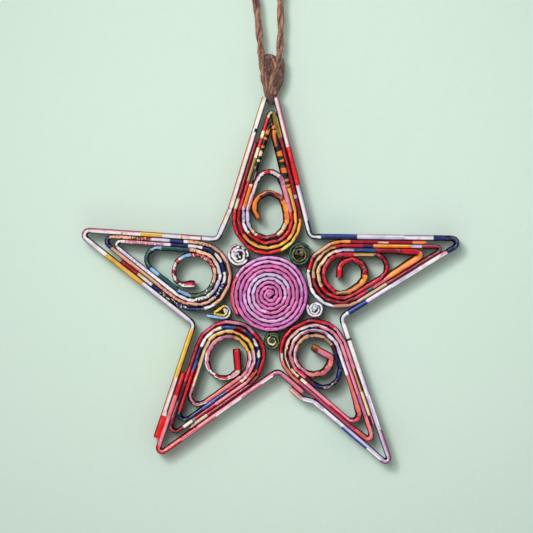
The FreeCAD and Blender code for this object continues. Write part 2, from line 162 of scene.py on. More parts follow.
class StarPrints(bpy.types.PropertyGroup):
    """What is printed along each strip."""
    coil_top: stretches("Top coil", (
        "dark_red|crimson 17, cream 3, red 22, yellow 5, gold|orange 6, dark_red|crimson 6, lilac 1, "
        "crimson|dark_red 17, olive|gold 6 x1.9, olive 2 x1.5, cream|olive 2, red|crimson 4, cream 2, red 3, "
        "cream 3, olive|tan 7, red|crimson 16, orange|gold 5, gold 8, orange|gold 6, gold|orange 11, "
        "orange*black 17 x1.9, black*orange 2 x1.4, orange*black 8 x1.2, cream*black 11, orange 6, "
        "lilac/red 4, white|lilac 4, red 6, crimson 4, red 9, pink|mauve 8 x1.5, mauve|grey 3 x1.7, "
        "white|mauve 3 x1.5, red 2, white|pink 7, pink|white 5, lilac 5, cream/red 3, crimson|dark_red 6, "
        "cream|orange 4 x1.5, orange|gold 7 x1.6, brown|red 3 x1.3, maroon|orange 5 x1.2, orange 4 x1.4, "
        "orange|brown 3 x1.5"))
    coil_left: stretches("Left coil", (
        "crimson 6, cream 2, white 3, navy 3, black/white 6, navy/white 3, navy 5, white 3, "
        "peach|tan 6, peach|pink 11, peach 3, peach/brown 7, white 1, navy 4, lilac 5, "
        "brown/peach 6, peach/brown 6, navy 4, peach 7, peach|tan 10, peach/red 10, peach/brown 8, "
        "navy/white 5, white 3, navy 3, white 3, navy 4, white 4, navy 5, white 2, pink/white 11, "
        "white 2, white/navy 3, lilac/white 10, white/lilac 15, white/navy 6, lilac 5, white/lilac 4, "
        "peach/white 9, teal 8, sky 3, teal 6, sky 3, teal 7, sky 4, green 4, green/white 4, peach 4, "
        "red/white 8, sky 3, crimson*white 8, black*white 2, crimson|white 3 x1.6"))
    coil_right: stretches("Right coil", (
        "orange|salmon 4, dark_red|crimson 7, peach|dark_red 3, dark_red|crimson 8, orange|gold 6, "
        "tan|peach 6, red 4, white 7, white|lilac 7, tan|pink 7, cream|peach 10, crimson|dark_red 7, "
        "dark_red|crimson 10, dark_red|mauve 7, lilac 3, orange|gold 8, orange|peach 3, "
        "navy|dark_red 3, crimson|red 8, tan|brown 5, tan|peach 7, dark_red|crimson 6, "
        "dark_red|crimson 10, crimson|magenta 4, teal 2, magenta|salmon 5, orange 5 x1.8, "
        "orange|salmon 8 x2, red 5 x1.8, dark_red|crimson 8 x1.4, blue|teal 6, lilac|grey 5, "
        "cream|tan 6, tan|cream 7, red|scarlet 6, crimson|red 6, crimson|red 9, red 3, "
        "dark_red|crimson 5, tan|olive 6, crimson|red 6 x1.3, red|crimson 6 x1.3, red|crimson 7, "
        "tan|olive 3, orange 4 x1.5, orange|gold 4 x1.7, dark_red 3 x1.8, dark_red|crimson 2 x1.7, "
        "crimson|red 4 x1.3, red|scarlet 4 x1.5, red|crimson 2 x1.6"))
    coil_bottom_left: stretches("Bottom left coil", (
        "dark_red|white 2, cream/peach 4, crimson 6, crimson|dark_red 7, dark_red 6, red 8, crimson 4, "
        "mauve 5, pink 4, rose 6, crimson 5, crimson|dark_red 6, red 4, maroon 6, maroon|mauve 5, "
        "dark_red 7, cream|white 3, grey 1, crimson 7, pink|salmon 7, pink 5, red|orange 3, navy 3, "
        "navy*white 6, navy 3, dark_red 3, blue 4, cream/grey 3, white 5, navy 4, blue|navy 3, red 6, "
        "red|dark_red 6, navy 9, blue 4, blue|navy 4, crimson 5, cream 2, pink 4, pink|white 4, "
        "gold 4, gold|red 4, gold|cream 7, cream|gold 8, cream|red 6, pink|maroon 5, mauve|cream 4, "
        "salmon 6, salmon|pink 5, pink 4, pink|white 4, gold 6, mauve 4, pink 6 x1.3, "
        "pink|white 5 x1.3, white|mauve 2, crimson|white 2, red|cream 2 x1.2, pink|white 3 x1.5, "
        "cream 1 x1.6, red 3 x1.7, red|crimson 3 x1.8"))
    coil_bottom_right: stretches("Bottom right coil", (
        "maroon|pink 3, cream|tan 7, tan|maroon 7, pink 6, pink|mauve 7, rose 4, red 4, red|dark_red 6, "
        "red 7, white|pink 2, salmon 8, mauve|rose 8, rose|mauve 13, salmon|rose 5 x1.5, salmon 1 x1.6, "
        "salmon|pink 6 x1.2, mauve 7, pink|mauve 10, pink 11, pink|white 4, white|pink 4, cream|pink 7, "
        "maroon|cream 6, cream|tan 3, maroon 1, cream 2, pink 9, pink|rose 8, rose|salmon 3 x1.5, "
        "salmon 3 x1.7, salmon|pink 4 x1.3, "
        "salmon 5, white|lilac 6, lilac|white 7, mauve|lilac 7, pink|white 5, pink 7, rose|pink 4, "
        "maroon 3, navy 3, navy/peach 4, navy 5, navy|black 4, maroon 2, tan/grey 8, tan 4, "
        "pink|white 6, pink 4, salmon 3 x1.5, salmon|pink 4 x1.7, salmon 3 x1.8, pink|salmon 4 x1.8, "
        "brown|orange 2 x1.5"))
    centre_disc: stretches("Centre disc", (
        "rose|pink 11, orchid_light|orchid 19, orchid 22, orchid_pink 26, orchid_light|orchid 18, orchid 34, "
        "orchid_pink 25, orchid_light 17, orchid_pink|orchid 36, orchid_light 9, pale 12, orchid_pink 11, "
        "orchid_light 7, pale 10, orchid_light 5, orchid_pink 23, orchid|orchid_pink 15, orchid_pink 12"))
    small_roll_top_left: stretches("Top left roll", (
        "pink|white 3, white 8 x1.3, black*white 6, white 8 x1.4, pale|white 5 x1.3, white*black 8"))
    small_roll_top_right: stretches("Top right roll", (
        "green|teal 18, black*green 4, olive|green 8, green*black 6 x1.3, olive 4 x1.4"))
    small_roll_right: stretches("Right roll", (
        "white|lilac 12 x1.2, white 5 x1.2, sky*white 5, white|sky 6 x1.3"))
    small_roll_bottom: stretches("Bottom roll", "green 9, green|olive 6, cream|olive 6 x1.2, green*black 7")
    small_roll_left: stretches("Left roll", "sky 5 x1.3, sky*white 4, yellow 9 x1.2, white|pink 6 x1.4")
    frame_strip_top_left: stretches("Top left frame strip", (
        "white|cream 9, white*black 1, white|peach 27, white|lilac 8, grey 0.5, white|pink 5, orange 0.5, "
        "white|lilac 5, gold 6, white|pink 5, tan 0.4, white|pink 11, white|lilac 4, white 4, gold 13, "
        "white|lilac 19, gold|yellow 14, white|peach 11, scarlet|red 6.5 x1.7"))
    frame_strip_bottom_left: stretches("Bottom left frame strip", (
        "red 7, salmon|pink 6, pink|salmon 9, salmon|red 9, red|pink 6, pink|salmon 6, pink|white 9, pink 7, "
        "pink|white 4, pink|mauve 8, pink|salmon 3"))
    frame_strip_bottom_right: stretches("Bottom right frame strip", (
        "pink|cream 4, lilac|white 7, white|lilac 7, lilac|blue 9, lilac|white 5, lilac|mauve 11, "
        "lilac|white 10, white|lilac 7, white 9, black 0.6, white 4, white|lilac 4, blue|navy 6, "
        "white|lilac 8, lilac|white 9, white 7, pink|white 2"))
    frame_strip_top_right: stretches("Top right frame strip", (
        "navy 4, navy|black 3, navy 4, white|lilac 8, lilac|white 13, navy|blue 10, white|navy 7, "
        "white|lilac 10, scarlet 11, white|pink 14"))


class StarFolding(bpy.types.PropertyGroup):
    """How neatly the strips are folded and coiled."""
    fold_softness: length(
        "Fold softness", "Rounding of the corners where a strip is bent by hand", 0.12, 0.05, 1)
    ring_step: length("Ring step", "Spacing of the rings along a flat", 0.7, 0.2, 3)
    crown: length("Crown", "Depth of the rounded front edge", 0.52, 0.1, 1)
    fullness: bpy.props.FloatProperty(
        name="Fullness", description="Visible thickness against the model's strip thickness",
        default=1.12, min=0.8, max=1.2)
    waver: length("Waver", "How far the front edge stands in and out", 0.16, 0, 0.4)
    lean: length("Lean", "How far the front edge leans sideways", 0.12, 0, 0.3)
    tip: length("Tip", "How far one side of a flat stands forward of the other", 0.3, 0, 0.6)
    pinch: bpy.props.FloatProperty(
        name="Pinch", description="Share by which a strip is narrower at a bend",
        default=0.28, min=0, max=0.5)


class StarTwine(bpy.types.PropertyGroup):
    """The twine's make."""
    thickness: length("Thickness", "Twine across its two plies", 2.1, 1, 4)
    lay: length("Lay", "Length in which the plies turn once", 15.0, 5, 40)
    hairs: bpy.props.IntProperty(
        name="Hairs", description="Loose fibres on the loop and knot", default=150, min=0, max=600)
    # The two fibre tones are shaded and lit jute: fibre noise mixes them at random, and the spread between
    # them is painted shade and painted highlight.
    dark: ink("Dark fibre", "Jute in its folds", 66, 38, 28)
    light: ink("Light fibre", "Jute on its crown", 218, 158, 132)


class StarStage(bpy.types.PropertyGroup):
    """Wall, floor, lights and camera."""
    wall: ink("Wall", "Painted wall", 214, 234, 221)
    floor: ink("Floor", "Plain floor", 226, 228, 224)
    wall_gap: length("Wall gap", "From the star's middle plane to the wall", 4.6, 3, 60)
    key_power: bpy.props.FloatProperty(
        name="Key light", description="Strength of the key light", default=3.0, min=0, unit="POWER")
    fill_power: bpy.props.FloatProperty(
        name="Fill light", description="Strength of the fill light", default=10.6, min=0, unit="POWER")


# Route of the twine, listed in millimetres from the inside top of the loop.
TWINE_ROUTE = [
    (-1.6, 0, -30.8), (-2.25, -0.15, -23.6), (-3.1, 0.1, -16.0), (-4.15, 0.15, -8.5), (-4.25, 0, -1.5),
    (-1.8, 0, 1.05), (1.75, 0, 1.05), (4.25, 0, -1.4), (3.95, 0.2, -8.6), (3.7, -0.1, -16.4),
    (4.05, -0.2, -24.0), (3.6, 0, -30.8),
]

COILS = ("coil_top", "coil_left", "coil_right", "coil_bottom_left", "coil_bottom_right")
ROLLS = ("small_roll_top_left", "small_roll_top_right", "small_roll_right", "small_roll_bottom",
         "small_roll_left")
FRAME_STRIPS = ("frame_strip_top_left", "frame_strip_bottom_left", "frame_strip_bottom_right",
                "frame_strip_top_right")


def front_outline(node):
    """Corners of the node's front face in their order round it, as (x, z) in millimetres."""
    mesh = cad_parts[node].data
    front = min(v.co.y for v in mesh.vertices)
    spots = [
        (round(v.co.x / MM, 4), round(v.co.z / MM, 4)) if v.co.y < front + 1e-5 else None
        for v in mesh.vertices
    ]
    uses = {}
    for face in mesh.polygons:
        ring = [spots[i] for i in face.vertices]
        if None in ring:
            continue
        for pair in zip(ring, ring[1:] + ring[:1]):
            uses[frozenset(pair)] = uses.get(frozenset(pair), 0) + 1
    beside = {}
    for pair, count in uses.items():
        if count == 1 and len(pair) == 2:
            a, b = pair
            beside.setdefault(a, []).append(b)
            beside.setdefault(b, []).append(a)
    outline = [min(beside)]
    came_from = None
    while True:
        ahead = next(p for p in beside[outline[-1]] if p != came_from)
        if ahead == outline[0]:
            return outline
        came_from = outline[-1]
        outline.append(ahead)


def between(a, b, share):
    """The point at a share of the way from a to b."""
    return (a[0] + (b[0] - a[0]) * share, a[1] + (b[1] - a[1]) * share)


def middle_line(node):
    """The line halfway between a strip's two sides, and the strip's thickness."""
    outline = front_outline(node)
    total = len(outline)

    def pairs(first):
        return [(outline[(first + i) % total], outline[(first - 1 - i) % total]) for i in range(total // 2)]

    sides = min(
        (pairs(first) for first in range(total)),
        key=lambda rows: sum(math.dist(*row) for row in rows),
    )
    return [between(a, b, 0.5) for a, b in sides], math.dist(*sides[0])


def from_outer_end(line):
    """A coil's line, starting at its outer end."""
    centre = middle_of(line)
    return line if math.dist(line[0], centre) > math.dist(line[-1], centre) else line[::-1]


def middle_of(points):
    """Mean of points."""
    return sum(p[0] for p in points) / len(points), sum(p[1] for p in points) / len(points)


def hand_bent(line, seed):
    """The line with its gentle bends shifted along it, since they are folded by eye."""
    chance = random.Random(seed)
    found = [line[0]]
    for before, corner, after in zip(line, line[1:], line[2:]):
        turn = math.atan2(after[1] - corner[1], after[0] - corner[0])
        turn -= math.atan2(corner[1] - before[1], corner[0] - before[0])
        sharp = abs((turn + math.pi) % (2 * math.pi) - math.pi) > 1.0
        runs = math.dist(before, corner), math.dist(corner, after)
        shift = chance.uniform(-BEND_SHIFT, BEND_SHIFT)
        if sharp or max(runs) > 3 * min(runs):
            found.append(corner)
        elif shift < 0:
            found.append(between(corner, before, -shift))
        else:
            found.append(between(corner, after, shift))
    return found + [line[-1]]


def wound_by_hand(line, seed):
    """A round coil's line with flats of uneven length in place of its even ones."""
    chance = random.Random(seed)
    hub = middle_of(line)
    angles = [math.atan2(line[0][1] - hub[1], line[0][0] - hub[0])]
    for a, b in zip(line, line[1:]):
        step = math.atan2(b[1] - hub[1], b[0] - hub[0]) - math.atan2(a[1] - hub[1], a[0] - hub[0])
        angles.append(angles[-1] + (step + math.pi) % (2 * math.pi) - math.pi)
    rims = [math.dist(p, hub) for p in line]
    way = 1 if angles[-1] > angles[0] else -1
    found = []
    swept = 0.0
    total = abs(angles[-1] - angles[0])
    index = 0
    while swept < total:
        while index < len(line) - 2 and abs(angles[index + 1] - angles[0]) < swept:
            index += 1
        low, high = abs(angles[index] - angles[0]), abs(angles[index + 1] - angles[0])
        share = min(1.0, max(0.0, (swept - low) / max(high - low, 1e-6)))
        rim = rims[index] + (rims[index + 1] - rims[index]) * share
        angle = angles[0] + way * swept
        found.append((hub[0] + rim * math.cos(angle), hub[1] + rim * math.sin(angle)))
        swept += min(0.75, (1.5 + 0.15 * rim) * chance.uniform(0.7, 1.3) / max(rim, 0.5))
    return found + [line[-1]]


def crumpled(line, reach, seed, count):
    """Corners of a strip's inner end, crushed to and fro in the hole that its coil leaves."""
    chance = random.Random(seed)
    hub = middle_of(line[-8:])
    first = math.atan2(line[-1][1] - hub[1], line[-1][0] - hub[0])
    found = []
    for step in range(count):
        angle = first + (step + 1) * 2.1 + chance.uniform(-0.4, 0.4)
        out = reach * (0.8 - 0.5 * step / count)
        found.append((hub[0] + out * math.cos(angle), hub[1] + out * math.sin(angle)))
    return found


def disc_middle():
    """Middle of the centre disc, as (x, z) in millimetres."""
    low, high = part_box("centre_disc")
    return (low[0] + high[0]) / 2 / MM, (low[2] + high[2]) / 2 / MM


def anticlockwise(line):
    """A frame strip's line, running anticlockwise round the disc as the front shows it."""
    hub = disc_middle()
    swept = sum(
        (a[0] - hub[0]) * (b[1] - hub[1]) - (b[0] - hub[0]) * (a[1] - hub[1]) for a, b in zip(line, line[1:])
    )
    return line if swept > 0 else line[::-1]


class Course:
    """A strip's line with its bends eased, measured along its length."""

    def __init__(self, corners, softness):
        self.points = [corners[0]]
        self.bends = []
        for before, corner, after in zip(corners, corners[1:], corners[2:]):
            reach = min(softness, 0.36 * math.dist(before, corner), 0.36 * math.dist(corner, after))
            enter = between(corner, before, reach / math.dist(before, corner))
            leave = between(corner, after, reach / math.dist(corner, after))
            self.bends.append((len(self.points), len(self.points) + 4))
            for step in range(5):
                share = step / 4
                self.points.append(
                    between(between(enter, corner, share), between(corner, leave, share), share))
        self.points.append(corners[-1])
        self.places = [0.0]
        for a, b in zip(self.points, self.points[1:]):
            self.places.append(self.places[-1] + math.dist(a, b))
        self.length = self.places[-1]

    def at(self, place):
        """Point on the line at a distance from its start."""
        place = min(max(place, 0.0), self.length)
        low, high = 0, len(self.places) - 1
        while high - low > 1:
            middle = (low + high) // 2
            if self.places[middle] <= place:
                low = middle
            else:
                high = middle
        span = self.places[high] - self.places[low]
        return between(self.points[low], self.points[high], (place - self.places[low]) / span if span else 0)

    def heading(self, place):
        """Unit direction of the line at a place."""
        back = self.at(place - 0.06)
        on = self.at(place + 0.06)
        run = math.dist(back, on)
        return ((on[0] - back[0]) / run, (on[1] - back[1]) / run)

    def flat_at(self, place):
        """Number of the flat that a place is on, and how far the nearest bend is."""
        flat = 0
        nearest = 50.0
        for first, last in self.bends:
            middle = (self.places[first] + self.places[last]) / 2
            nearest = min(nearest, abs(middle - place))
            if middle <= place:
                flat += 1
        return flat, nearest

    def stops(self, step, marks):
        """Places of the rings: each bend's points, the flats' steps and both sides of each mark."""
        found = {0.0, self.length}
        edges = [0.0]
        for first, last in self.bends:
            found.update(self.places[first:last + 1])
            edges += [self.places[first], self.places[last]]
        edges.append(self.length)
        for start, end in zip(edges[::2], edges[1::2]):
            count = max(1, round((end - start) / step))
            found.update(start + (end - start) * i / count for i in range(count + 1))
        for mark in marks:
            found.update((mark - 0.1, mark + 0.1))
        kept = []
        for place in sorted(p for p in found if 0 <= p <= self.length):
            if not kept or place - kept[-1] > 0.05:
                kept.append(place)
        return kept


def read_print(text, total):
    """Stretches of a strip's print: where each starts, its two colours, their pattern and the width."""
    inks = bpy.context.scene.star_inks
    rows = []
    for item in text.split(","):
        words = item.split()
        mark = next((sign for sign in "/*|" if sign in words[0]), None)
        colour, _, second = words[0].partition(mark or "/")
        kind = tuple(1.0 if mark == sign else 0.0 for sign in "/*|")
        wide = float(words[2][1:]) if len(words) > 2 else 1.0
        rows.append((
            float(words[1]), tuple(getattr(inks, colour)), tuple(getattr(inks, second or colour)),
            kind, wide,
        ))
    scale = total / sum(row[0] for row in rows)
    start = 0.0
    found = []
    for run, colour, second, kind, wide in rows:
        found.append((start, colour, second, kind, wide))
        start += run * scale
    return found


def stretch_at(rows, place):
    """The stretch of print that a place is on."""
    current = rows[0]
    for row in rows:
        if row[0] <= place:
            current = row
    return current


def width_at(rows, place, total):
    """Width factor at a place, eased over a millimetre and a half at the ends of a stretch."""
    factor = 0.0
    for shift in (-1.5, -0.9, -0.3, 0.3, 0.9, 1.5):
        factor += stretch_at(rows, min(max(place + shift, 0.0), total))[4] / 6
    return factor


def make_mesh(name, points, faces, smooth=True):
    """Object made of points in millimetres and faces."""
    mesh = bpy.data.meshes.new(name)
    mesh.from_pydata([(x * MM, y * MM, z * MM) for x, y, z in points], [], faces)
    mesh.update()
    if smooth:
        mesh.polygons.foreach_set("use_smooth", [True] * len(mesh.polygons))
    piece = bpy.data.objects.new(name, mesh)
    bpy.context.scene.collection.objects.link(piece)
    return piece


def paint(piece, name, kind, values):
    """Stores one value for each point of a piece."""
    layer = piece.data.attributes.new(name, kind, "POINT")
    if kind == "FLOAT_COLOR":
        layer.data.foreach_set("color", [channel for value in values for channel in value])
    else:
        layer.data.foreach_set("value", values)


def finish_piece(piece, material, node):
    """Gives a piece its material and slot, and puts it in its node's place."""
    piece.data.materials.append(material)
    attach(piece, "root")
    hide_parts(node)


def strip_profile(crown):
    """Section of a folded strip: share across, depth from the front and from the back."""
    rows = []
    for i in range(9):
        angle = math.pi * i / 8
        rows.append((-math.cos(angle), crown * (1 - math.sin(angle) ** 0.7), None))
    rows.append((1.0, SIDE_DEPTH, None))
    for i in range(5):
        angle = math.pi * i / 4
        rows.append((math.cos(angle), None, 0.6 * crown * (1 - math.sin(angle))))
    rows.append((-1.0, SIDE_DEPTH, None))
    return rows


def tube_faces(base, size, count):
    """Faces of a closed tube of rings that start at point base, with size points each."""
    faces = []
    for ring in range(count - 1):
        for i in range(size):
            a = base + ring * size + i
            b = base + ring * size + (i + 1) % size
            faces.append((a, b, b + size, a + size))
    last = base + (count - 1) * size
    return faces + [tuple(range(base, base + size))[::-1], tuple(range(last, last + size))]


def wobble(*where):
    """Smooth noise about 0, the same at every run."""
    return noise.noise(Vector(where))


class Fold:
    """How a strip's folded edge stands at one place of its line."""

    def __init__(self, course, place, thickness, seed, wide, full, tone, loose_from):
        folding = bpy.context.scene.star_folding
        loose = min(1.0, max(0.0, (place / course.length - loose_from) * LOOSE_RISE))
        end_gap = min(place, course.length - place)
        taper = 1.0 if end_gap > END_TAPER else END_SHARE + end_gap
        swell = 1 + (NEAT_SWELL + LOOSE_SWELL * loose) * wobble(place * (0.23 + 0.3 * loose), seed, 1.7)
        swell += LOOSE_FULLNESS * loose
        flat, from_bend = course.flat_at(place)
        self.wide = wide
        self.half = thickness / 2 * folding.fullness * full * swell * taper
        self.extra = thickness * (wide - 1)
        self.waver = folding.waver * wobble(place * 0.11, seed, 4.1)
        self.waver += RIPPLE * folding.waver * wobble(place * 0.7, seed, 9.3)
        self.lean = folding.lean * (1 + LOOSE_LEAN * loose) * wobble(flat * 3.3, seed, 7.7)
        self.tip = folding.tip * wobble(flat * 5.7, seed, 2.2) * min(1.0, from_bend / TIP_REACH)
        self.pinch = 1 - folding.pinch * max(0.0, 1 - from_bend / PINCH_REACH)
        # Painted shade: each flat's print is made lighter or darker at random, as its tilt would catch the
        # light.
        self.shade = 1 + tone * wobble(flat * 7.1, seed, 5.5)
        self.worn = max(0.0, 1 - from_bend / WORN_REACH)

    def corner(self, front, back, share, from_front, from_back):
        """How far a corner of the section stands to the side of the line, and its y."""
        offset = share * self.half
        if from_front is None:
            y = back - from_back
        else:
            deep = from_front * (1 + 0.5 * max(0.0, self.wide - 1))
            y = front + self.waver + EDGE_INSET + deep + self.tip * share
            offset = share * self.half * (self.pinch if from_front < 1 else 1.0)
            offset += self.lean * max(0.0, 1 - from_front / LEAN_DEPTH)
        return offset + self.extra * max(0.0, share), y

    def tinted(self, colour):
        """A printing colour with the painted shade of this flat."""
        return (*(min(1.0, level * self.shade) for level in colour), 1.0)


def make_strip(node, line, thickness, seed, material, full=1.0, tone=0.45, loose_from=1.0):
    """One folded strip set on edge along its line, with its print stored along it.

    Full is a factor on its thickness and tone how much its flats differ in shade. From the share
    loose_from of its length it is folded less neatly, as the free inner turns are.
    """
    folding = bpy.context.scene.star_folding
    front, back = (corner[1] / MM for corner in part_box(node))
    hub = disc_middle()
    course = Course(line, folding.fold_softness)
    rows = read_print(getattr(bpy.context.scene.star_prints, node), course.length)
    profile = strip_profile(folding.crown * min(1.0, thickness))
    stops = course.stops(folding.ring_step, [row[0] for row in rows[1:]])
    points = []
    values = {name: [] for name in STRIP_VALUES}
    for place in stops:
        x, z = course.at(place)
        dx, dz = course.heading(place)
        wide = width_at(rows, place, course.length)
        fold = Fold(course, place, thickness, seed, wide, full, tone, loose_from)
        outward = dx * (z - hub[1]) - dz * (x - hub[0])
        _, colour, second, kind, _ = stretch_at(rows, place)
        for share, from_front, from_back in profile:
            offset, y = fold.corner(front, back, share, from_front, from_back)
            points.append((x - dz * offset, y, z + dx * offset))
            values["ink"].append(fold.tinted(colour))
            values["second"].append(fold.tinted(second))
            values["pattern"].append((*kind, 1.0))
            values["bend"].append(fold.worn)
            values["run"].append(place + seed * 37.0)
            values["across"].append(share * thickness / 2)
            values["depth"].append(min(y - front, back - y))
            # Open marks the frame strips' outer sides, which keep their print in place of the painted shade
            # on the sides.
            values["open"].append(1.0 if share * outward > 0 and node in FRAME_STRIPS else 0.0)
    faces = [face[::-1] for face in tube_faces(0, len(profile), len(stops))]
    piece = make_mesh(node + "_paper", points, faces)
    for name, kind in STRIP_VALUES.items():
        paint(piece, name, kind, values[name])
    finish_piece(piece, material, node)


class Nodes:
    """Short hand for laying out a material's nodes."""

    def __init__(self, name):
        self.material = bpy.data.materials.new(name)
        self.material.use_nodes = True
        self.tree = self.material.node_tree
        self.tree.nodes.clear()
        self.output = self.add("ShaderNodeOutputMaterial")

    def add(self, kind, inputs=None, **settings):
        """Adds a node, with each input either joined to a socket or set to a value."""
        node = self.tree.nodes.new(kind)
        for name, value in settings.items():
            setattr(node, name, value)
        for name, value in (inputs or {}).items():
            if isinstance(value, bpy.types.NodeSocket):
                self.tree.links.new(value, node.inputs[name])
            else:
                node.inputs[name].default_value = value
        return node

    def attribute(self, name):
        """Node that gives a value stored on the mesh."""
        return self.add("ShaderNodeAttribute", attribute_name=name)

    def maths(self, operation, first, second=None):
        """Result of an operation on one value or two."""
        inputs = {0: first} if second is None else {0: first, 1: second}
        return self.add("ShaderNodeMath", inputs, operation=operation).outputs[0]

    def scaled(self, x, y, z, by):
        """Vector of three values, each times its own factor."""
        parts = [self.maths("MULTIPLY", value, factor) for value, factor in zip((x, y, z), by)]
        return self.add("ShaderNodeCombineXYZ", {0: parts[0], 1: parts[1], 2: parts[2]}).outputs[0]

    def grain(self, vector, scale, detail=2.0, roughness=0.5):
        """Noise from 0 to 1."""
        return self.add(
            "ShaderNodeTexNoise",
            {"Vector": vector, "Scale": scale, "Detail": detail, "Roughness": roughness},
        ).outputs["Fac"]

    def ease(self, value, low, high, to_low=0.0, to_high=1.0):
        """A value between two limits, mapped with soft ends."""
        return self.add(
            "ShaderNodeMapRange",
            {"Value": value, "From Min": low, "From Max": high, "To Min": to_low, "To Max": to_high},
            interpolation_type="SMOOTHSTEP",
        ).outputs["Result"]

    def blend(self, share, first, second, mode="MIX"):
        """First colour, with a share of the second mixed in or multiplied."""
        node = self.add("ShaderNodeMix", data_type="RGBA", blend_type=mode, clamp_factor=True)
        for index, value in ((0, share), (6, first), (7, second)):
            if isinstance(value, bpy.types.NodeSocket):
                self.tree.links.new(value, node.inputs[index])
            else:
                node.inputs[index].default_value = value
        return node.outputs[2]

    def shader(self, colour, roughness, bump, **settings):
        """Finishes the material with these values and returns it."""
        shader = self.add("ShaderNodeBsdfPrincipled", {"Base Color": colour, "Roughness": roughness,
                                                       "Normal": bump})
        for name, value in settings.items():
            if isinstance(value, bpy.types.NodeSocket):
                self.tree.links.new(value, shader.inputs[name.replace("_", " ")])
            else:
                shader.inputs[name.replace("_", " ")].default_value = value
        self.tree.links.new(shader.outputs[0], self.output.inputs[0])
        return self.material


class PaperNodes(Nodes):
    """Nodes of a strip's paper, which know where on the strip they are."""

    def __init__(self, name, half):
        super().__init__(name)
        self.half = half
        self.run, self.across, self.depth, self.bend = (
            self.attribute(value).outputs["Fac"] for value in ("run", "across", "depth", "bend"))

    def fibre(self, stretch, detail=2.0, roughness=0.5):
        """Noise with its own stretch along, across and into the strip."""
        return self.grain(self.scaled(self.run, self.across, self.depth, stretch), 1.0, detail, roughness)

    def dimmed(self, colour, *levels):
        """A colour times a level for red, green and blue."""
        return self.blend(1.0, colour, (*levels, 1), "MULTIPLY")

    def print_colour(self):
        """The strip's print: its colour with flecks, dashes or a second tone, a little clouded."""
        first = self.attribute("ink").outputs["Color"]
        second = self.attribute("second").outputs["Color"]
        flecked, dashed, toned = self.add(
            "ShaderNodeSeparateColor", {"Color": self.attribute("pattern").outputs["Color"]}).outputs
        flecks = self.ease(self.fibre((2.3, 1.2, 0.25), 1.0), 0.54, 0.62)
        dashes = self.ease(self.fibre((0.62, 0.3, 0.1), 0.0), 0.46, 0.5)
        ragged = self.maths("MULTIPLY", self.fibre((0.5, 1.5, 1.5)), 0.5)
        side = self.maths("DIVIDE", self.across, self.half)
        edge = self.maths("ADD", side, self.maths("SUBTRACT", ragged, 0.25))
        outer = self.ease(edge, -0.3, -0.05, 1.0, 0.0)
        share = self.maths("MULTIPLY", flecked, flecks)
        share = self.maths("MAXIMUM", share, self.maths("MULTIPLY", dashed, dashes))
        share = self.maths("MAXIMUM", share, self.maths("MULTIPLY", toned, outer))
        clouds = self.ease(self.fibre((0.3, 0.6, 0.5), 4.0, 0.6), 0.3, 0.56)
        clouds = self.blend(clouds, (0.64, 0.58, 0.62, 1), (1, 1, 1, 1))
        return self.blend(0.8, self.blend(share, first, second), clouds, "MULTIPLY")

    def crest(self):
        """1 on the crest of the fold, 0 beside and below it."""
        aside = self.maths("DIVIDE", self.maths("ABSOLUTE", self.across), self.half)
        middle = self.ease(aside, 0.5, 0.88, 1.0, 0.0)
        return self.maths("MULTIPLY", middle, self.ease(self.depth, 0.5, 0.85, 1.0, 0.0))

    def crease_shaded(self, colour, crease_shade):
        """The colour with painted shade in the creases at some bends."""
        share = self.ease(self.fibre((0.5, 0.3, 0.3)), 0.35, 0.5)
        share = self.maths("MULTIPLY", share, self.ease(self.bend, 0.6, 0.95, 0.0, crease_shade))
        return self.blend(share, colour, self.dimmed(colour, 0.2, 0.16, 0.2))

    def wear(self):
        """Where the print is scuffed or chafed off at the bends."""
        scuffed = self.ease(self.fibre((1.3, 3.0, 3.0), 4.0), 0.6, 0.7)
        chafed = self.maths("MULTIPLY", self.bend, self.ease(self.fibre((0.4, 0.4, 0.4)), 0.5, 0.6))
        return self.maths("ADD", self.maths("MULTIPLY", scuffed, 0.6), chafed)

    def side_colour(self, near, colour, shade):
        """The colour of the sides: painted shade near the crest, and the print, a little dimmed, deeper down
        or where open.
        """
        dark = self.dimmed(near, shade, shade * 0.8, shade)
        deep = self.ease(self.depth, 1.7, 2.7, 0.0, 0.35)
        lit = self.maths("MAXIMUM", self.attribute("open").outputs["Fac"], deep)
        return self.blend(lit, dark, self.dimmed(colour, 0.8, 0.76, 0.8))


def printed_paper(name, half, wear=0.22, crease_shade=0.5, rim=0.05, shade=0.02):
    """Coated magazine paper folded to a strip: print, worn bends and painted shade at creases and sides.

    Wear is how white the bends are chafed, and the crease factor how dark the painted shade at creased bends
    is. Rim and shade say how much light is left beside the crest and on the sides near it.
    """
    lay = PaperNodes(name, half)
    printed = lay.crease_shaded(lay.print_colour(), crease_shade)
    crest = lay.crest()
    # Painted shade: beside the crest the print is dimmed to the rim level, for the shade at the strip's
    # edges.
    colour = lay.blend(crest, lay.dimmed(printed, rim, rim * 0.75, rim), printed)
    worn = lay.maths("MULTIPLY", lay.wear(), wear)
    colour = lay.blend(lay.maths("MULTIPLY", crest, worn), colour, (0.86, 0.8, 0.78, 1))
    # Painted shade: below the crest the sides take their painted side colour.
    sides = lay.ease(lay.depth, 0.3, 0.85)
    colour = lay.blend(sides, colour, lay.side_colour(colour, printed, shade))
    layers = lay.fibre((0.1, 8.0, 5.0))
    wrinkles = lay.fibre((1.1, 1.5, 0.7), 4.0, 0.6)
    height = lay.maths("ADD", lay.maths("MULTIPLY", layers, 0.5), wrinkles)
    bump = lay.add("ShaderNodeBump", {"Height": height, "Strength": 0.6, "Distance": 0.0002}).outputs[0]
    gloss = lay.maths("SUBTRACT", 1.0, sides)
    return lay.shader(colour, lay.ease(wrinkles, 0.3, 0.75, 0.3, 0.5), bump,
                      Coat_Weight=lay.maths("MULTIPLY", gloss, 0.4), Coat_Roughness=0.12,
                      Specular_IOR_Level=lay.maths("MULTIPLY", gloss, 0.16))


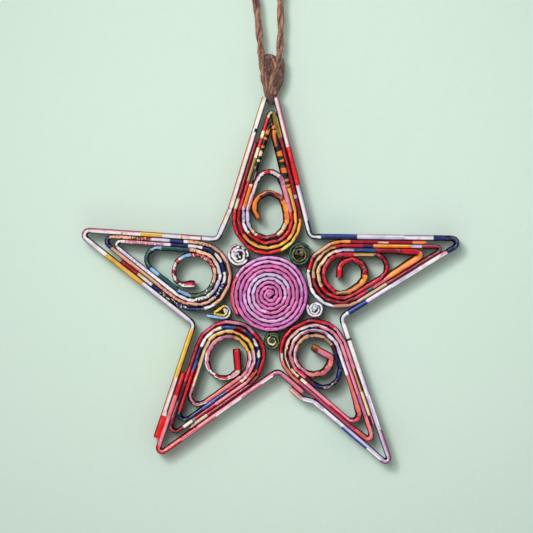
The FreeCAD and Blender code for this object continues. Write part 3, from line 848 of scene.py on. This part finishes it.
def jute(name):
    """Jute fibre: long strands laid round each ply, with painted shade in the folds between plies."""
    make = bpy.context.scene.star_twine
    lay = Nodes(name)
    run = lay.attribute("run").outputs["Fac"]
    turn = lay.attribute("turn").outputs["Fac"]
    fold = lay.attribute("fold").outputs["Fac"]
    slant = lay.maths("ADD", turn, lay.maths("MULTIPLY", run, 0.45))
    fibres = lay.grain(lay.scaled(run, slant, fold, (0.5, 3.4, 1.0)), 1.0, 3.0, 0.65)
    broad = lay.grain(lay.scaled(run, slant, fold, (0.3, 1.2, 1.0)), 1.0, 2.0)
    tone = lay.ease(lay.maths("ADD", lay.maths("MULTIPLY", fibres, 0.6), lay.maths("MULTIPLY", broad, 0.5)),
                    0.4, 0.72)
    colour = lay.blend(tone, (*make.dark, 1), (*make.light, 1))
    # Painted shade: the jute is darkened toward black by its fold value, in the grooves between plies and in
    # the knot.
    colour = lay.blend(lay.maths("MULTIPLY", fold, 0.8), colour, (0.014, 0.009, 0.007, 1))
    bump = lay.add("ShaderNodeBump", {"Height": fibres, "Strength": 0.9, "Distance": 0.0002}).outputs[0]
    return lay.shader(colour, lay.ease(fibres, 0.3, 0.7, 0.6, 0.85), bump, Sheen_Weight=0.25,
                      Sheen_Roughness=0.5, Specular_IOR_Level=0.3)


def smooth_route(name, route):
    """Points of the route's smooth line, in millimetres."""
    curve = bpy.data.curves.new(name, "CURVE")
    curve.dimensions = "3D"
    curve.resolution_u = CURVE_STEPS
    spline = curve.splines.new("NURBS")
    spline.points.add(len(route) - 1)
    for point, place in zip(spline.points, route):
        point.co = (place[0] * MM, place[1] * MM, place[2] * MM, 1)
    spline.order_u = 3
    spline.use_endpoint_u = True
    guide = bpy.data.objects.new(name, curve)
    bpy.context.scene.collection.objects.link(guide)
    bpy.context.view_layer.update()
    shape = bpy.data.meshes.new_from_object(guide.evaluated_get(bpy.context.evaluated_depsgraph_get()))
    points = [v.co / MM for v in shape.vertices]
    bpy.data.meshes.remove(shape)
    bpy.data.objects.remove(guide)
    bpy.data.curves.remove(curve)
    return points


def resample(points, step):
    """The same line with its points a step apart."""
    found = [points[0].copy()]
    carry = 0.0
    for a, b in zip(points, points[1:]):
        run = (b - a).length
        at = step - carry
        while at < run:
            found.append(a.lerp(b, at / run))
            at += step
        carry = (carry + run) % step
    if (found[-1] - points[-1]).length > step * 0.3:
        found.append(points[-1].copy())
    return found


class Bundle:
    """Points, faces and stored values of one piece of twine work."""

    def __init__(self):
        self.points = []
        self.faces = []
        self.run = []
        self.turn = []
        self.fold = []

    def rings(self, rings):
        """Adds a closed tube from rings of (point, run, turn, fold)."""
        base = len(self.points)
        for ring in rings:
            for point, run, turn, fold in ring:
                self.points.append(tuple(point))
                self.run.append(run)
                self.turn.append(turn)
                self.fold.append(fold)
        self.faces += tube_faces(base, len(rings[0]), len(rings))

    def piece(self, name):
        """The finished object."""
        made = make_mesh(name, self.points, self.faces)
        paint(made, "run", "FLOAT", self.run)
        paint(made, "turn", "FLOAT", self.turn)
        paint(made, "fold", "FLOAT", self.fold)
        return made


def frames_along(points):
    """Direction and two cross directions at each point, carried along without twist."""
    found = []
    side = None
    for i, point in enumerate(points):
        ahead = points[min(i + 1, len(points) - 1)] - points[max(i - 1, 0)]
        ahead.normalize()
        if side is None:
            side = ahead.cross(Vector((0, 1, 0)))
            if side.length < 0.1:
                side = ahead.cross(Vector((1, 0, 0)))
        side = (side - ahead * side.dot(ahead)).normalized()
        found.append((ahead, side, ahead.cross(side)))
    return found


def lay_twine(bundle, points, thickness, lay, seed, start_turn=0.0, thin_ends=(1.0, 1.0)):
    """Adds two plies twisted round each other along the points."""
    ply = thickness * PLY_RADIUS
    orbit = thickness * PLY_ORBIT
    frames = frames_along(points)
    total = len(points) - 1
    for which in (0, 1):
        rings = []
        run = 0.0
        for i, (point, (ahead, side, up)) in enumerate(zip(points, frames)):
            if i:
                run += (point - points[i - 1]).length
            share = i / total
            scale = thin_ends[0] + (thin_ends[1] - thin_ends[0]) * share
            slack = 1 + 0.1 * wobble(run * 0.2, seed, which)
            angle = start_turn + 2 * math.pi * run / lay + math.pi * which
            out = side * math.cos(angle) + up * math.sin(angle)
            hub = point + out * orbit * scale * slack
            ring = []
            for k in range(PLY_SIDES):
                turn = 2 * math.pi * k / PLY_SIDES
                about = angle + turn
                direction = side * math.cos(about) + up * math.sin(about)
                ridge = 1 + 0.09 * wobble(run * 0.35, k * 0.9 + run * 0.5, seed + which * 5)
                # Painted shade: the side of each ply turned toward the other ply gets a fold value, which the
                # jute darkens.
                inner = min(1.0, max(0.0, 0.45 - math.cos(turn)))
                reach = ply * scale * ridge
                ring.append((hub + direction * reach, run + seed * 31 + which * 11, turn / (2 * math.pi) * 6,
                             inner))
            rings.append(ring)
        bundle.rings(rings)


def add_hairs(bundle, points, thickness, count, seed, longest):
    """Adds thin loose fibres that stand off the twine."""
    chance = random.Random(seed)
    frames = frames_along(points)
    for _ in range(count):
        i = chance.randrange(2, len(points) - 2)
        ahead, side, up = frames[i]
        angle = chance.uniform(0, 2 * math.pi)
        out = side * math.cos(angle) + up * math.sin(angle)
        across = ahead.cross(out)
        start = points[i] + out * thickness * 0.42
        reach = chance.uniform(0.4, longest)
        way = chance.choice((-1, 1))
        line = []
        for k in range(5):
            t = k / 4
            line.append(start + ahead * way * reach * t + out * reach * 0.45 * t * t
                        + across * reach * 0.3 * math.sin(t * 3 + angle) * t)
        rings = []
        for k, (point, (_, a, b)) in enumerate(zip(line, frames_along(line))):
            radius = HAIR_RADIUS * (1 - 0.7 * k / 4)
            rings.append([
                (point + (a * math.cos(q) + b * math.sin(q)) * radius, k, q, 0.0)
                for q in (0, 2 * math.pi / 3, 4 * math.pi / 3)
            ])
        bundle.rings(rings)


def aim(thing, target):
    """Turns a camera or light toward a point."""
    direction = Vector(target) - thing.location
    thing.rotation_mode = "QUATERNION"
    thing.rotation_quaternion = direction.to_track_quat("-Z", "Y")


def area_light(name, place, target, size, power, colour):
    """Round lamp that shines on a point."""
    data = bpy.data.lights.new(name, "AREA")
    data.shape = "DISK"
    data.size = size
    data.energy = power
    data.color = colour
    light = bpy.data.objects.new(name, data)
    bpy.context.scene.collection.objects.link(light)
    light.location = place
    aim(light, target)
    return light


# What the camera frames, metres.
VIEW_CENTRE = (-0.00006, 0.0, -0.09078)
VIEW_WIDTH = 0.14924
VIEW_DISTANCE = 1.2
SENSOR_WIDTH = 36

# Wall and floor, mm, and the centre of the pool of light painted on the wall, metres.
WALL_SIZE = 1600
WALL_FOOT = -790.0
WALL_TOP = 610.0
FLOOR_SIZE = 6000
PAINTED_LIGHT_SPOT = (0.01, 0.0, -0.06)


class STAR_OT_camera(bpy.types.Operator):
    """Place the camera straight in front of the star, framed as the photograph is"""
    bl_idname = "star.camera"
    bl_label = "Camera"

    def execute(self, context):
        data = bpy.data.cameras.new("front_camera")
        data.sensor_width = SENSOR_WIDTH
        data.lens = SENSOR_WIDTH * VIEW_DISTANCE / VIEW_WIDTH
        data.clip_end = 20
        camera = bpy.data.objects.new("front_camera", data)
        context.scene.collection.objects.link(camera)
        camera.location = Vector(VIEW_CENTRE) - Vector((0, VIEW_DISTANCE, 0))
        aim(camera, VIEW_CENTRE)
        context.scene.camera = camera
        return {"FINISHED"}


class STAR_OT_stage(bpy.types.Operator):
    """Make the painted wall behind the star, the floor and the studio light"""
    bl_idname = "star.stage"
    bl_label = "Wall, floor and light"

    def execute(self, context):
        stage = context.scene.star_stage
        self.make_wall(stage)
        self.make_floor(stage)
        x, _, z = VIEW_CENTRE
        area_light("key_light", (x - 0.36, -1.1, z + 0.42), VIEW_CENTRE, 0.2, stage.key_power,
                   (1, 0.98, 0.97))
        area_light("soft_light", (x - 0.36, -1.34, z + 0.4), VIEW_CENTRE, 0.72, stage.fill_power,
                   (1, 0.99, 0.99))
        world = bpy.data.worlds.new("studio")
        world.use_nodes = True
        sky = world.node_tree.nodes["Background"]
        sky.inputs[0].default_value = (0.9, 0.9, 0.9, 1)
        sky.inputs[1].default_value = 0.4
        context.scene.world = world
        context.scene.view_settings.view_transform = "Standard"
        return {"FINISHED"}

    def make_wall(self, stage):
        """The wall behind the star, painted by hand in patches, with painted light fading from one spot, and
        clear from behind.
        """
        half = WALL_SIZE / 2
        y = stage.wall_gap
        wall = make_mesh("wall", [
            (-half, y, WALL_FOOT), (half, y, WALL_FOOT), (half, y, WALL_TOP), (-half, y, WALL_TOP),
        ], [(0, 1, 2, 3)], smooth=False)
        lay = Nodes("painted_wall")
        where = lay.add("ShaderNodeNewGeometry")
        grain = lay.grain(where.outputs["Position"], 160.0, 6.0, 0.62)
        patches = lay.grain(where.outputs["Position"], 9.0, 2.0)
        red, green, blue = stage.wall
        colour = lay.blend(lay.ease(patches, 0.3, 0.7, 0.0, 0.1), (red, green, blue, 1),
                           (red * 0.8, green * 0.9, blue * 0.85, 1))
        # Painted light: the wall's colour is darker away from one spot, a pool of light painted on it.
        away = lay.add("ShaderNodeVectorMath", {0: where.outputs["Position"], 1: PAINTED_LIGHT_SPOT},
                       operation="DISTANCE").outputs["Value"]
        colour = lay.blend(lay.ease(away, 0.03, 0.16), colour, (red * 0.8, green * 0.8, blue * 0.8, 1))
        bump = lay.add("ShaderNodeBump", {"Height": grain, "Strength": 0.22, "Distance": 0.0012}).outputs[0]
        lay.shader(colour, 0.85, bump, Specular_IOR_Level=0.2)
        front = lay.output.inputs[0].links[0].from_socket
        clear = lay.add("ShaderNodeBsdfTransparent").outputs[0]
        seen = lay.add("ShaderNodeMixShader", {0: where.outputs["Backfacing"], 1: front, 2: clear})
        lay.tree.links.new(seen.outputs[0], lay.output.inputs[0])
        wall.data.materials.append(lay.material)
        return wall

    def make_floor(self, stage):
        """The floor under the wall's foot."""
        half = FLOOR_SIZE / 2
        floor = make_mesh("floor", [
            (-half, -half, WALL_FOOT), (half, -half, WALL_FOOT),
            (half, half, WALL_FOOT), (-half, half, WALL_FOOT),
        ], [(0, 1, 2, 3)], smooth=False)
        lay = Nodes("plain_floor")
        where = lay.add("ShaderNodeNewGeometry")
        grain = lay.grain(where.outputs["Position"], 60.0, 4.0)
        bump = lay.add("ShaderNodeBump", {"Height": grain, "Strength": 0.1, "Distance": 0.001}).outputs[0]
        floor.data.materials.append(lay.shader((*stage.floor, 1), 0.8, bump))
        return floor


class STAR_OT_twine_loop(bpy.types.Operator):
    """Lay the two-ply jute loop along its route, with its loose fibres"""
    bl_idname = "star.twine_loop"
    bl_label = "Twine loop"

    def execute(self, context):
        make = context.scene.star_twine
        line = smooth_route("twine_guide", TWINE_ROUTE)
        fine = resample(line, TWINE_STEP)
        bundle = Bundle()
        lay_twine(bundle, fine, make.thickness, make.lay, 3, start_turn=0.6)
        add_hairs(bundle, fine, make.thickness, make.hairs, 11, 1.7)
        piece = bundle.piece("twine_strands")
        finish_piece(piece, jute("jute_loop"), "twine_loop")
        return {"FINISHED"}


# Outline of the knot in millimetres: height, left edge and right edge.
KNOT_OUTLINE = [
    (-31.2, -2.4, 3.4), (-32.0, -2.5, 4.3), (-33.4, -2.35, 4.7), (-35.2, -2.0, 4.75), (-37.2, -1.6, 4.75),
    (-38.8, -1.3, 4.7), (-40.2, -1.0, 4.1), (-41.6, -0.75, 3.3), (-43.0, -0.35, 2.7), (-44.2, 0.0, 2.3),
    (-45.6, 0.5, 1.9),
]

# How the loop's two strands and two turns of the knot run down it, in millimetres.
KNOT_STRANDS = [
    [(-1.65, -0.1, -30.2), (-1.5, -0.6, -32.6), (-1.1, -1.3, -35.4), (-0.5, -1.5, -38.4), (0.1, -1.2, -42.0)],
    [(3.6, -0.1, -30.2), (3.5, -1.0, -32.6), (2.7, -1.9, -35.0), (1.4, -2.0, -37.8), (1.0, -1.5, -42.4)],
    [(0.4, -0.8, -31.9), (1.8, -1.7, -34.0), (3.2, -1.3, -36.4), (3.3, -0.6, -39.2), (1.9, -0.9, -42.6)],
    [(-0.6, 0.8, -31.8), (0.8, 1.7, -34.6), (2.4, 1.6, -37.4), (1.4, 1.2, -41.6)],
]


def knot_at(height):
    """Middle and half width of the knot at a height."""
    rows = KNOT_OUTLINE
    height = max(min(height, rows[0][0]), rows[-1][0])
    upper = max(i for i, row in enumerate(rows[:-1]) if row[0] >= height)
    above, below = rows[upper], rows[upper + 1]
    share = (above[0] - height) / (above[0] - below[0])
    left = above[1] + (below[1] - above[1]) * share
    right = above[2] + (below[2] - above[2]) * share
    return (left + right) / 2, (right - left) / 2


def knot_surface(height, angle, out=1.0):
    """Point of the knot's outside, lumpy as pulled twine is."""
    middle, half = knot_at(height)
    lump = 1 + 0.12 * wobble(math.cos(angle) * 1.3, math.sin(angle) * 1.3, height * 0.5)
    deep = min(2.3, half * 0.85)
    return Vector((
        middle + half * out * lump * math.cos(angle), -deep * out * lump * math.sin(angle), height))


class STAR_OT_twine_knot(bpy.types.Operator):
    """Wind the knot out of the twine, down to its tail between the frame ends"""
    bl_idname = "star.twine_knot"
    bl_label = "Knot"

    def execute(self, context):
        make = context.scene.star_twine
        chance = random.Random(5)
        bundle = Bundle()
        # The knot's core under its fibres has a full fold value, so painted shade makes it near black.
        rings = []
        for step in range(50):
            height = -31.3 - 14.2 * step / 49
            slim = 0.82 * min(1.0, 0.35 + step / 7)
            rings.append([
                (knot_surface(height, 2 * math.pi * k / 20, slim), height, 6 * k / 20, 1.0) for k in range(20)
            ])
        bundle.rings(rings)
        for number, strand in enumerate(KNOT_STRANDS):
            fine = resample(smooth_route("knot_guide", strand), TWINE_STEP)
            lay_twine(bundle, fine, make.thickness, make.lay, 20 + number, number * 1.3, (1.0, 0.7))
        for _ in range(430):
            start, sweep = chance.uniform(0, 6.3), chance.gauss(0, 0.8)
            top = chance.uniform(-42.5, -31.6)
            run = chance.uniform(2.0, 5.0)
            line = []
            for k in range(9):
                height = max(-45.5, top - run * k / 8)
                line.append(knot_surface(
                    height, start + sweep * k / 8, 0.93 + 0.09 * math.sin(math.pi * k / 8)))
            radius = chance.uniform(0.07, 0.19)
            # Each fibre of the knot gets a random share of painted shade.
            fold = chance.uniform(0.1, 0.95)
            first = chance.uniform(0, 90)
            bundle.rings([
                [(point + (a * math.cos(q) + b * math.sin(q)) * radius * (1 - 0.5 * abs(k / 4 - 1)),
                  first + k * 0.5, q, fold) for q in (0, 1.26, 2.51, 3.77, 5.03)]
                for k, (point, (_, a, b)) in enumerate(zip(line, frames_along(line)))
            ])
        spine = [Vector((knot_at(-31 - 0.5 * k)[0], 0, -31 - 0.5 * k)) for k in range(27)]
        add_hairs(bundle, spine, make.thickness * 2.4, make.hairs // 3, 41, 1.2)
        finish_piece(bundle.piece("twine_knot_strands"), jute("jute_knot"), "twine_knot")
        return {"FINISHED"}


class STAR_OT_centre_disc(bpy.types.Operator):
    """Coil the strip of the centre disc"""
    bl_idname = "star.centre_disc"
    bl_label = "Centre disc"

    def execute(self, context):
        line, thickness = middle_line("centre_disc")
        paper = printed_paper("disc_print", thickness / 2, wear=0.2, crease_shade=0.3, rim=0.18, shade=0.05)
        line = wound_by_hand(from_outer_end(line), 21)
        make_strip("centre_disc", line + crumpled(line, 0.8, 4, 5), thickness, 1, paper, full=1.06, tone=0.3,
                   loose_from=0.9)
        return {"FINISHED"}


class STAR_OT_point_coils(bpy.types.Operator):
    """Coil the five point coils"""
    bl_idname = "star.point_coils"
    bl_label = "Point coils"

    def execute(self, context):
        for number, node in enumerate(COILS):
            line, thickness = middle_line(node)
            paper = printed_paper(node + "_print", thickness / 2)
            line = hand_bent(from_outer_end(line), 60 + number)
            make_strip(node, line, thickness, 2 + number, paper, full=1.04, loose_from=0.62)
        return {"FINISHED"}


class STAR_OT_small_rolls(bpy.types.Operator):
    """Coil the five small rolls between the coils and the disc"""
    bl_idname = "star.small_rolls"
    bl_label = "Small rolls"

    def execute(self, context):
        for number, node in enumerate(ROLLS):
            line, thickness = middle_line(node)
            paper = printed_paper(node + "_print", thickness / 2)
            line = hand_bent(from_outer_end(line), 80 + number)
            make_strip(node, line + crumpled(line, 0.9, number, 6), thickness, 8 + number, paper,
                       loose_from=0.35)
        return {"FINISHED"}


class STAR_OT_frame_strips(bpy.types.Operator):
    """Fold the four strips round the outside of the star"""
    bl_idname = "star.frame_strips"
    bl_label = "Frame strips"

    def execute(self, context):
        for number, node in enumerate(FRAME_STRIPS):
            line, thickness = middle_line(node)
            paper = printed_paper(node + "_print", thickness / 2, wear=0.2)
            make_strip(node, anticlockwise(line), thickness, 14 + number, paper, full=0.97, tone=0.12)
        return {"FINISHED"}


OPERATORS = (STAR_OT_camera, STAR_OT_twine_loop, STAR_OT_twine_knot, STAR_OT_centre_disc, STAR_OT_point_coils,
             STAR_OT_small_rolls, STAR_OT_frame_strips, STAR_OT_stage)
GROUPS = {"star_inks": StarInks, "star_prints": StarPrints, "star_folding": StarFolding,
          "star_twine": StarTwine, "star_stage": StarStage}


class STAR_PT_panel(bpy.types.Panel):
    """Buttons and settings of the paper star"""
    bl_idname = "STAR_PT_panel"
    bl_label = "Coiled paper star"
    bl_space_type = "VIEW_3D"
    bl_region_type = "UI"
    bl_category = "Paper star"

    def draw(self, context):
        column = self.layout.column(align=True)
        for operator in OPERATORS:
            column.operator(operator.bl_idname)
        for group in GROUPS:
            settings = getattr(context.scene, group)
            box = self.layout.box()
            for name in settings.bl_rna.properties.keys():
                if name not in ("rna_type", "name"):
                    box.prop(settings, name)


def register():
    """Adds the star's settings, operators and panel to Blender."""
    for group in GROUPS.values():
        bpy.utils.register_class(group)
    for name, group in GROUPS.items():
        setattr(bpy.types.Scene, name, bpy.props.PointerProperty(type=group))
    for operator in OPERATORS:
        bpy.utils.register_class(operator)
    bpy.utils.register_class(STAR_PT_panel)


def unregister():
    """Takes the star's panel, operators and settings away again."""
    bpy.utils.unregister_class(STAR_PT_panel)
    for operator in reversed(OPERATORS):
        bpy.utils.unregister_class(operator)
    for name in GROUPS:
        delattr(bpy.types.Scene, name)
    for group in reversed(GROUPS.values()):
        bpy.utils.unregister_class(group)


def main():
    """Builds the star and its stage."""
    register()
    bpy.ops.star.camera()
    bpy.ops.star.twine_loop()
    bpy.ops.star.twine_knot()
    bpy.ops.star.centre_disc()
    bpy.ops.star.point_coils()
    bpy.ops.star.small_rolls()
    bpy.ops.star.frame_strips()
    bpy.ops.star.stage()


if __name__ == "__main__":
    main()
